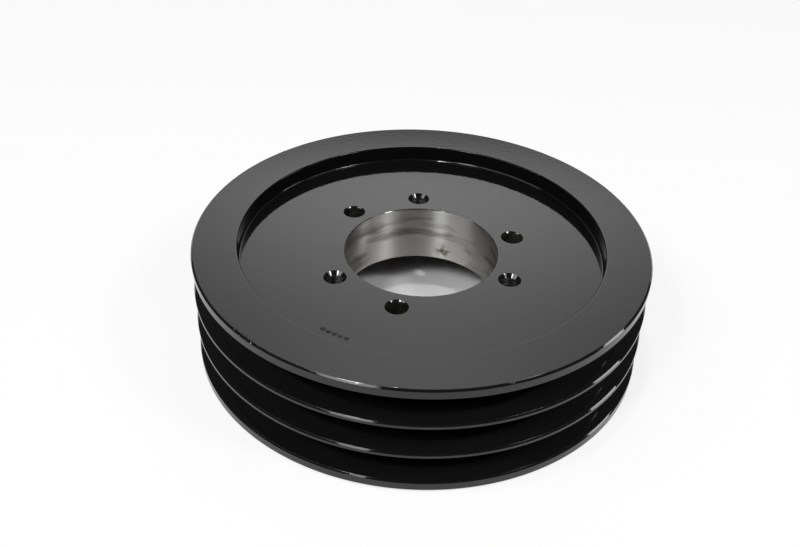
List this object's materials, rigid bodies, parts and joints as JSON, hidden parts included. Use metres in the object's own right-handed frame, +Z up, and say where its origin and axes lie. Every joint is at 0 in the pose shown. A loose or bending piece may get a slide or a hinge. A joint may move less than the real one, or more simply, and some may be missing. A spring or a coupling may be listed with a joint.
{
  "type": "v-belt sheave",
  "caption": "Cast-iron V-belt sheave with V grooves in the rim, a web set below the face and a hub bored to a taper for a flanged split bushing.",
  "frame": {"origin": "centre of the lower rim face, on the axis of rotation", "axes": "+Z up along the axis of rotation, towards the face with the shallow recess, where the taper is at its small end; +X and +Y lie in the lower rim face"},
  "size_m": [0.2286, 0.2286, 0.0603],
  "materials": {
    "gloss_black_painted_iron": "gloss"
  },
  "bodies": {
    "root": {"hub": "gloss_black_painted_iron", "web": "gloss_black_painted_iron", "rim": "gloss_black_painted_iron", "top_flange": "gloss_black_painted_iron", "rib_1": "gloss_black_painted_iron", "rib_2": "gloss_black_painted_iron", "bottom_flange": "gloss_black_painted_iron"}
  },
  "joints": []
}
